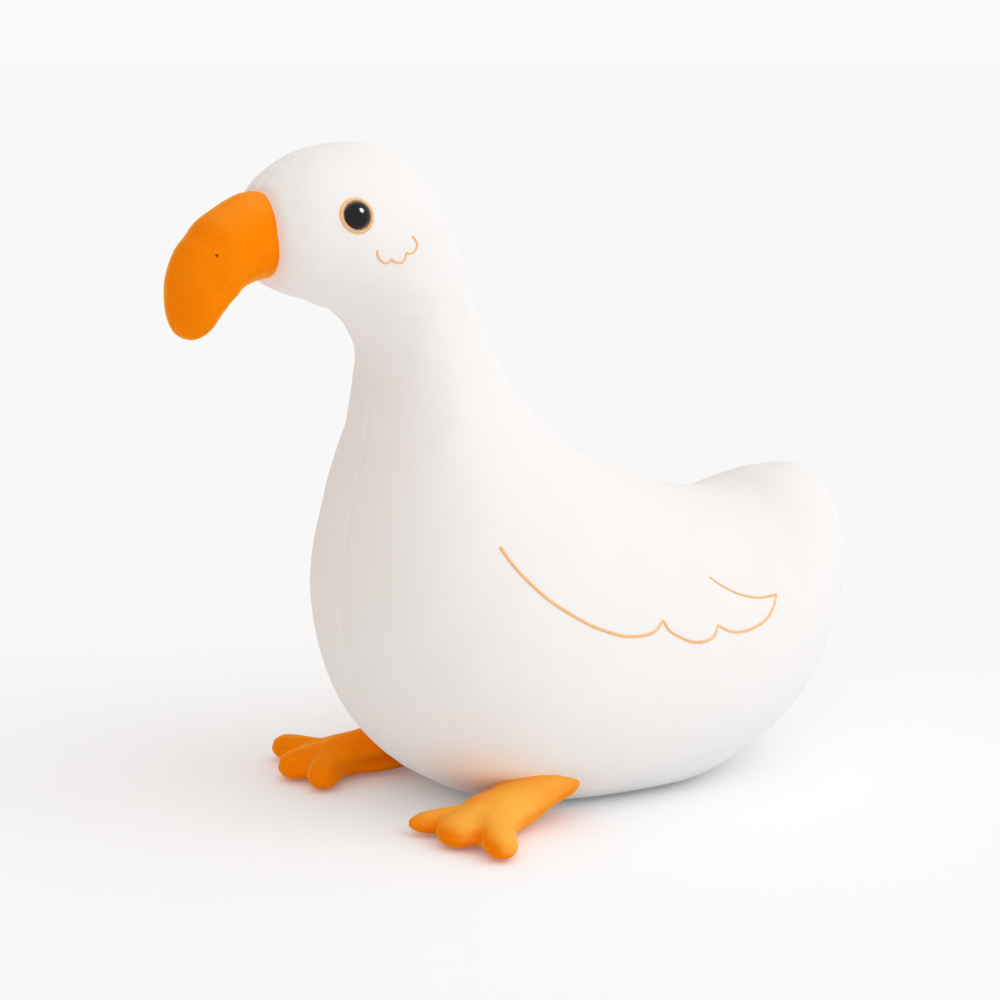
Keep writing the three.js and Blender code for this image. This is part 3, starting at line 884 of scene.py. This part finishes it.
def sew_cover():
    """Lays the cloth's relief over the cover and pulls it in at its seams, the hips and the folds."""
    co, no = coords(cover), normals(cover)
    gap = near(beak_tree, co, SEAM_REACH)
    move = resampled(cover_relief, COVER_ROWS, COVER_ANGLES) * ramp(gap, *RELIEF_FADE)
    # the centre seam from the beak over the back to the tail and down the chest
    run = np.arctan2(co[:, 2] - CENTRE_ROUND, co[:, 0]) * CENTRE_ROUND
    off_floor = ramp(co[:, 2], *FLOOR_FADE)
    move += off_floor * dent(np.abs(co[:, 1]), *CENTRE_SEAM)
    move += off_floor * pucker(run, co[:, 1], CENTRE_GATHERS)
    # the seam round the base panel
    base = np.abs(co[:, 2] - BASE_SEAM_HEIGHT)
    turn = np.arctan2(co[:, 1], co[:, 0]) * BASE_ROUND
    move += dent(base, *BASE_SEAM) + pucker(turn, base, BASE_GATHERS)
    move += dent(gap, *HEAD_TO_BEAK)
    for obj in legs.values():
        move += dent(near(tree_of(obj), co, SEAM_REACH), *HIP_SEAM)
    for points, depth, width in FOLDS:
        for line in fold_lines(points):
            far, share = line_near(co, line)
            move += np.sin(np.pi * share) ** FOLD_ENDS * dent(far, depth * MM, width * MM, FOLD_LIPS)
    co = co + no * move[:, None]
    co[:, 2] = np.maximum(co[:, 2], 0)
    set_coords(cover, co)


def sew_beak():
    """Lays the cloth's relief over the beak and pulls it in at the head, the hem and the centre seam."""
    co, no = coords(beak), normals(beak)
    gap = near(bare_tree, co, SEAM_REACH)
    move = resampled(beak_relief, BEAK_ROWS, BEAK_ANGLES)
    move += dent(gap, *BEAK_SEAM) + dent(np.abs(gap - BEAK_HEM_PLACE), *BEAK_HEM)
    move += dent(np.abs(co[:, 1]), *BEAK_CENTRE)
    set_coords(beak, co + no * move[:, None])


def sew_leg(name, obj):
    """Pulls a leg in along the seam round its sole, and the right one along its crease."""
    co, no = coords(obj), normals(obj)
    rim = np.abs(co[:, 2] - LEG_RIM_HEIGHT)
    steep = 1 - np.abs(no[:, 2])
    run = co[:, 0] + co[:, 1]
    move = steep * (dent(rim, *LEG_RIM) + pucker(run, rim, *LEG_GATHERS))
    if name == "right":
        inner = ramp(-no[:, 1], 0, CREASE_FACING) * ramp(co[:, 0], *CREASE_FADE)
        move += inner * dent(np.abs(co[:, 2] - CREASE_HEIGHT), *CREASE)
    set_coords(obj, co + no * move[:, None])


sew_cover()
cover_tree = tree_of(cover)
sew_beak()
for name, obj in legs.items():
    sew_leg(name, obj)

# Painted highlight: the orange pieces are painted paler on the side that faces a direction, up or towards the key
# light, where the light falls strongest:
# the most that it pales, the direction, and how far a face has to look that way to begin and to be all pale
PAINTED_HIGHLIGHT_BLUR = 6
PAINTED_HIGHLIGHTS = (
    (beak, 0.22, (0.1, -0.1, 0.98), 0.5, 0.95),
    (legs["left"], 0.8, (0.62, -0.3, 0.72), -0.35, 0.75),
    (legs["right"], 0.1, (0.2, 0.3, 0.93), 0.6, 0.95),
)
for obj, most, towards, low, high in PAINTED_HIGHLIGHTS:
    flat = ramp(normals(obj) @ np.array(towards), low, high)
    painted_highlight = obj.data.attributes.new("painted_highlight", "FLOAT", "POINT")
    pale = blurred(obj, most * flat**2 * (3 - 2 * flat), PAINTED_HIGHLIGHT_BLUR)
    painted_highlight.data.foreach_set("value", pale.astype(np.float32))

for obj, material, slot, fill in (
    (cover, WHITE, "white_plush", 0.85),
    (beak, ORANGE, "orange_plush", 0.85),
    (legs["left"], ORANGE, "orange_plush", 0.8),
    (legs["right"], ORANGE, "orange_plush", 0.8),
):
    dress(obj, material)
    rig.slot(obj, slot)
    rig.padded(obj, fill=fill)

# Satin stitch, along strokes in percent of the length and the height

WING_WIDTH, WING_THIN = 2.0 * MM, 0.74
WING = [
    [(-17.8, 43.6), (-16.5, 40.7), (-14.8, 38.0), (-12.8, 35.5), (-10.3, 33.2), (-7.5, 31.1),
     (-4.3, 29.4), (-2.4, 28.8), (-0.2, 28.6), (1.4, 28.9), (2.9, 30.1)],
    [(2.9, 30.1), (3.6, 28.5), (5.1, 27.3), (6.8, 26.3), (8.7, 25.9), (10.6, 26.3), (11.6, 27.7)],
    [(11.6, 27.7), (13.4, 26.5), (15.6, 26.0), (18.0, 26.2), (20.2, 26.9), (21.9, 28.2), (23.3, 29.8)],
    [(23.3, 29.8), (20.0, 30.0), (17.0, 31.0), (14.6, 32.5), (12.6, 34.3)],
]
CHEEK_WIDTH = 1.4 * MM
CHEEK = [
    [(-30.0, 85.8), (-29.8, 85.0), (-29.3, 84.3), (-28.7, 83.9), (-28.2, 84.0), (-27.9, 84.4)],
    [(-27.9, 84.4), (-27.5, 84.0), (-26.9, 83.8), (-26.3, 83.9), (-26.0, 84.4), (-25.9, 85.1)],
    [(-25.9, 85.1), (-25.4, 85.0), (-24.7, 85.2), (-24.3, 86.0), (-24.5, 86.7), (-25.0, 87.4)],
]
STROKE_STEPS = 60
STITCH_PITCH, STITCH_STEPS = 0.00085, 4
STITCH_ARC = np.linspace(0, np.pi, 7)
# Shares of the stitch's width: its rise, its ridges and unevenness, and how it is sunk into the cloth
STITCH_RISE, STITCH_RIDGE, STITCH_UNEVEN = 0.85, 0.06, 0.05
STITCH_LEAN = 0.55
STITCH_SUNK, STITCH_FOOT = 0.45, 0.9
TAPER_REACH, TAPER_END = 0.6, 0.7


def spaced(points, step):
    """Rows of a polyline, each a place and what goes with it, moved to an even step of the place."""
    d = np.r_[0, np.cumsum(np.linalg.norm(np.diff(points[:, :3], axis=0), axis=1))]
    n = max(6, int(round(d[-1] / step)))
    s = np.linspace(0, d[-1], n + 1)
    return np.stack([np.interp(s, d, points[:, k]) for k in range(points.shape[1])], 1), s


def bead(points, ups, wide, width, closed):
    """Rings of points of one ridged bead along points on the cloth, with the cloth's normals there."""
    both, s = spaced(np.hstack([points, ups, wide[:, None]]), STITCH_PITCH / STITCH_STEPS)
    if closed:
        both, s = both[:-1], s[:-1]
    p, up, w = both[:, :3], both[:, 3:6], both[:, 6] * width
    along = np.roll(p, -1, 0) - np.roll(p, 1, 0) if closed else np.gradient(p, axis=0)
    along /= np.linalg.norm(along, axis=1)[:, None]
    across = np.cross(along, up)
    across /= np.linalg.norm(across, axis=1)[:, None]
    up = np.cross(across, along)
    turns = round(s[-1] / STITCH_PITCH) if closed else s[-1] / STITCH_PITCH
    phase = s / s[-1] * turns
    stitches = np.arange(int(turns) + 2)
    jitter = np.interp(phase, stitches, rng.normal(0, 1, len(stitches)))
    half = w / 2
    if not closed:
        half = half * np.clip(np.minimum(s, s[-1] - s) / (TAPER_REACH * width) + TAPER_END, 0, 1)
    swell = (half * (1 + STITCH_UNEVEN * jitter))[:, None]
    lean = phase[:, None] + STITCH_LEAN * STITCH_ARC / np.pi
    ridge = 1 - STITCH_RIDGE * np.cos(np.pi * lean) ** 2
    aside = (swell * np.cos(STITCH_ARC))[:, :, None]
    rise = (swell * STITCH_RISE * ridge * np.sin(STITCH_ARC))[:, :, None]
    top = p[:, None] + across[:, None] * aside + up[:, None] * rise
    sunk = p - up * (STITCH_SUNK * w)[:, None]
    foot = across * (STITCH_FOOT * half)[:, None]
    return np.concatenate([top, np.stack([sunk - foot, sunk + foot], 1)], 1)


def satin(name, lines, width, closed=False):
    """Beads of satin stitch. A line is its points, the cloth's normals there and its share of the width."""
    verts, faces = [], []
    for points, ups, wide in lines:
        rings = bead(points, ups, wide, width, closed)
        faces += tube_faces(*rings.shape[:2], len(verts), closed)
        verts.extend(rings.reshape(-1, 3))
    obj = new_mesh(name, verts, faces)
    face_outward(obj)
    dress(obj, ORANGE_THREAD)
    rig.slot(obj, "orange_thread")
    return obj


def stitched(name, strokes, side, width, thin=1.0):
    """A line of satin stitch on the cover's side, thinner at its far strokes."""
    lines = []
    for number, stroke in enumerate(strokes):
        flat = np.array(stroke) * (LENGTH / 100 * MM, HEIGHT / 100 * MM)
        path = catmull(flat, np.linspace(0, 1, STROKE_STEPS))
        points, ups = zip(*[on_side(cover_tree, x, z, side) for x, z in path])
        passed = np.linspace(number, number + 1, len(path)) / len(strokes)
        lines.append((np.array(points), np.array(ups), 1 - (1 - thin) * passed))
    return satin(name, lines, width)


# Eyes and nostrils

EYE = (-0.323 * LENGTH * MM, 0.906 * HEIGHT * MM)
EYE_RADIUS, EYE_HEIGHT, EYE_SET, EYE_BAND = 7.5 * MM, 6.5 * MM, 0.5 * MM, 0.6 * MM
# The shank and the flat back of an eye, as radius and height in mm
EYE_BACK = [(0, -6.4), (2.2, -6.4), (2.5, -6), (2.5, -1), (6.8, -0.8), (7.3, -0.5)]
EYE_SIDES, DOME_STEPS = 56, 14
EYE_RING, EYE_RING_WIDTH, EYE_RING_STEPS = 8.85 * MM, 2.5 * MM, 72
ABOVE_CLOTH = 0.03
KNOT_STEPS, KNOT_SIDES = 96, 8
KNOT_SIZE, KNOT_THREAD = 0.62 * MM, 0.26 * MM
KNOT_LEAN = (0.31, 0.17, 0.94)
# The thread winds twice round, in and out and up and down three times, as shares of the knot's size
KNOT_OUT, KNOT_IN_OUT, KNOT_HIGH, KNOT_UP_DOWN = 0.62, 0.28, 0.15, 0.35


def standing(point, normal):
    """Moves a piece from the origin to a place on a surface, where it stands upright."""
    turn = Vector((0, 0, 1)).rotation_difference(Vector(normal)).to_matrix().to_4x4()
    return Matrix.Translation(Vector(point)) @ turn


def lathe(name, profile, place):
    """A closed turned piece from (radius, height) points that start and end on the axis."""
    angles = around(EYE_SIDES)
    grid = np.array([[(r * math.cos(a), r * math.sin(a), h) for a in angles] for r, h in profile])
    obj = grid_mesh(name, grid)
    obj.data.transform(place)
    return obj


def eye(name, side):
    """A domed eye on its shank, and the stitched ring round it."""
    point, normal = on_side(bare_tree, EYE[0], EYE[1], side)
    place = standing(point - EYE_SET * normal, normal)
    profile = [(r * MM, h * MM) for r, h in EYE_BACK] + [(EYE_RADIUS, 0.0)]
    for a in np.linspace(0, np.pi / 2, DOME_STEPS + 1)[1:-1]:
        profile.append((EYE_RADIUS * math.cos(a), EYE_BAND + (EYE_HEIGHT - EYE_BAND) * math.sin(a)))
    profile.append((0, EYE_HEIGHT))
    dome = lathe(f"eye_dome_{name}", profile, place)
    dress(dome, EYE_BLACK)
    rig.slot(dome, "eye_black")
    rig.replaces(dome, f"eye_{name}")
    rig.ride(dome, "head")
    points, ups = [], []
    for a in np.linspace(0, 2 * np.pi, EYE_RING_STEPS + 1):
        start = place @ Vector((EYE_RING * math.cos(a), EYE_RING * math.sin(a), ABOVE_CLOTH))
        hit, up, _, _ = cover_tree.ray_cast(start, -Vector(normal))
        points.append(hit)
        ups.append(up)
    line = (np.array(points), np.array(ups), np.ones(len(points)))
    thread_ring = satin(f"eye_ring_thread_{name}", [line], EYE_RING_WIDTH, closed=True)
    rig.replaces(thread_ring, f"eye_ring_{name}")
    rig.ride(thread_ring, "head")


def knot(name):
    """A nostril: a small knot of thread, sewn through the beak."""
    low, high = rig.box(f"nostril_knot_{name}")
    hit, normal, _, _ = tree_of(beak).find_nearest((low + high) / 2)
    t = around(KNOT_STEPS)
    wind = KNOT_OUT + KNOT_IN_OUT * np.cos(3 * t)
    high = KNOT_HIGH + KNOT_UP_DOWN * np.sin(3 * t)
    path = np.stack([wind * np.cos(2 * t), wind * np.sin(2 * t), high], 1) * KNOT_SIZE
    ahead = np.roll(path, -1, 0) - np.roll(path, 1, 0)
    ahead /= np.linalg.norm(ahead, axis=1)[:, None]
    out = np.cross(ahead, KNOT_LEAN)
    out /= np.linalg.norm(out, axis=1)[:, None]
    up = np.cross(out, ahead)
    verts = []
    for p, o, u in zip(path, out, up):
        verts += [p + KNOT_THREAD * (o * math.cos(a) + u * math.sin(a)) for a in around(KNOT_SIDES)]
    obj = new_mesh(f"nostril_thread_{name}", verts, tube_faces(KNOT_STEPS, KNOT_SIDES, 0, closed=True))
    obj.data.transform(standing(hit, normal))
    face_outward(obj)
    dress(obj, BROWN_THREAD)
    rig.slot(obj, "brown_thread")
    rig.replaces(obj, f"nostril_knot_{name}")
    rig.ride(obj, "head")


for name, side in SIDES.items():
    wing = stitched(f"wing_thread_{name}", WING, side, WING_WIDTH, WING_THIN)
    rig.replaces(wing, f"wing_stitch_{name}")
    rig.ride(wing, "body")
    cheek = stitched(f"cheek_thread_{name}", CHEEK, side, CHEEK_WIDTH)
    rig.replaces(cheek, f"cheek_stitch_{name}")
    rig.ride(cheek, "head")
    eye(name, side)
    knot(name)
    dress(frame["nodes"][f"eye_washer_{name}"], WASHER)

# What each padded piece stands for and how it follows the joints
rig.replaces(cover, "body_side_left", "body_side_right", "body_base", "body_stuffing")
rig.replaces(cover, "head_side_left", "head_side_right", "head_stuffing")
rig.blend(cover, "body", "head", start=(-0.075, 0, 0.225), end=(-0.120, 0, 0.305))
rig.replaces(beak, "beak_left", "beak_right", "beak_stuffing")
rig.ride(beak, "head")
HIP_HEIGHT, HIP_BLEND = 8, (0.002, 0.030)
for name, side in SIDES.items():
    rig.replaces(legs[name], f"leg_top_{name}", f"leg_sole_{name}", f"leg_stuffing_{name}")
    splay = math.radians(LIE[name][0])
    out = np.array([-math.cos(splay), side * math.sin(splay), 0])
    root = np.array([HIP[0], side * HIP[1], HIP_HEIGHT]) * MM
    start, end = (tuple(root + out * reach) for reach in HIP_BLEND)
    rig.blend(legs[name], "body", f"leg_{name}", start=start, end=end)

# Camera

AIM = Vector((-0.028, 0, 0.179))
CAMERA_AZIMUTH, CAMERA_ELEVATION, CAMERA_DISTANCE = math.radians(-37.0), math.radians(11.5), 1.385
SENSOR_WIDTH, LENS = 36.0, 83.1
level = math.cos(CAMERA_ELEVATION)
back = Vector((
    math.sin(CAMERA_AZIMUTH) * level,
    -math.cos(CAMERA_AZIMUTH) * level,
    math.sin(CAMERA_ELEVATION),
))
camera = bpy.data.objects.new("camera", bpy.data.cameras.new("camera"))
camera.data.sensor_width = SENSOR_WIDTH
camera.data.lens = LENS
camera.location = AIM + back * CAMERA_DISTANCE
camera.rotation_euler = (-back).to_track_quat("-Z", "Y").to_euler()
bpy.context.scene.collection.objects.link(camera)
bpy.context.scene.camera = camera

# Light

TO_LIGHT = Vector((0.389, -0.662, 0.641))
KEY_ENERGY, KEY_ANGLE, KEY_DISTANCE = 0.52, math.radians(50), 2
CATCH_ENERGY, CATCH_SIZE, CATCH_DISTANCE = 46, 0.62, 1.3
LEFT_EYE = Vector((-0.158, -0.045, 0.358))
# A dome that is bright and neutral towards the key and warm and dim behind the chest
DOME_DARK = (0.44, 0.30, 0.18, 1)
DOME_BRIGHT = (0.95, 0.96, 0.985, 1)
BACKGROUND = srgb(250, 250, 250)


def shine(light, name, place):
    """Sets a light at a place, turned to the goose."""
    obj = bpy.data.objects.new(name, light)
    obj.location = place
    obj.rotation_euler = (AIM - Vector(place)).to_track_quat("-Z", "Y").to_euler()
    bpy.context.scene.collection.objects.link(obj)
    return obj


def seen_directly(nodes):
    """A socket that is 1 for camera, mirror and see-through rays and 0 for light that bounces off cloth."""
    path = nodes.make("ShaderNodeLightPath")
    total = path.outputs["Is Camera Ray"]
    for kind in ("Is Glossy Ray", "Is Transmission Ray"):
        total = nodes.combined("MAXIMUM", total, path.outputs[kind])
    return total


sun = bpy.data.lights.new("key", "SUN")
sun.energy = KEY_ENERGY
sun.angle = KEY_ANGLE
shine(sun, "key", AIM + KEY_DISTANCE * TO_LIGHT)

# The lamp that shows as a highlight in the eyes
catch = bpy.data.lights.new("catch", "AREA")
catch.shape = "DISK"
catch.size = CATCH_SIZE
catch.energy = CATCH_ENERGY
shine(catch, "catch", LEFT_EYE + CATCH_DISTANCE * TO_LIGHT).visible_diffuse = False

world = bpy.data.worlds.new("studio")
bpy.context.scene.world = world
world.use_nodes = True
nodes = Nodes(world)
facing = nodes.make("ShaderNodeVectorMath", operation="DOT_PRODUCT")
nodes.feed(facing, {0: nodes.make("ShaderNodeTexCoord").outputs["Generated"], 1: TO_LIGHT})
share = nodes.ranged(facing.outputs["Value"], (-1.0, 1.0))
ambient = world.node_tree.nodes["Background"]
nodes.feed(ambient, {"Color": nodes.mixed(share, DOME_DARK, DOME_BRIGHT)})
shown = nodes.make("ShaderNodeBackground", Color=BACKGROUND, Strength=1.0)
swap = nodes.make("ShaderNodeMixShader")
nodes.feed(swap, {"Fac": seen_directly(nodes)})
nodes.feed(swap, {1: ambient.outputs["Background"], 2: shown.outputs["Background"]})
nodes.feed(world.node_tree.nodes["World Output"], {"Surface": swap.outputs["Shader"]})

# Floor

FLOOR_RADIUS, FLOOR_DROP = 30, 0.0004
FLOOR_COLOUR = (0.915, 0.938, 0.957, 1)
FLOOR_LIFT = 0.118
bpy.ops.mesh.primitive_circle_add(
    vertices=96, radius=FLOOR_RADIUS, fill_type="NGON", location=(0, 0, -FLOOR_DROP)
)
floor = bpy.context.object
floor.name = "floor"
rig.stage(floor)
floor_material, floor_shader, nodes = blank("floor")
nodes.feed(floor_shader, {
    "Base Color": FLOOR_COLOUR,
    "Roughness": 1.0,
    "Specular IOR Level": 0.0,
    "Emission Color": (1, 1, 1, 1),
    "Emission Strength": nodes.combined("MULTIPLY", seen_directly(nodes), FLOOR_LIFT),
})
dress(floor, floor_material)

bpy.context.scene.view_settings.view_transform = "Standard"

visual_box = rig.bounds()
with open("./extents.json", "w") as f:
    json.dump({"cad": [list(v) for v in cad_box], "visual": [list(v) for v in visual_box]}, f)
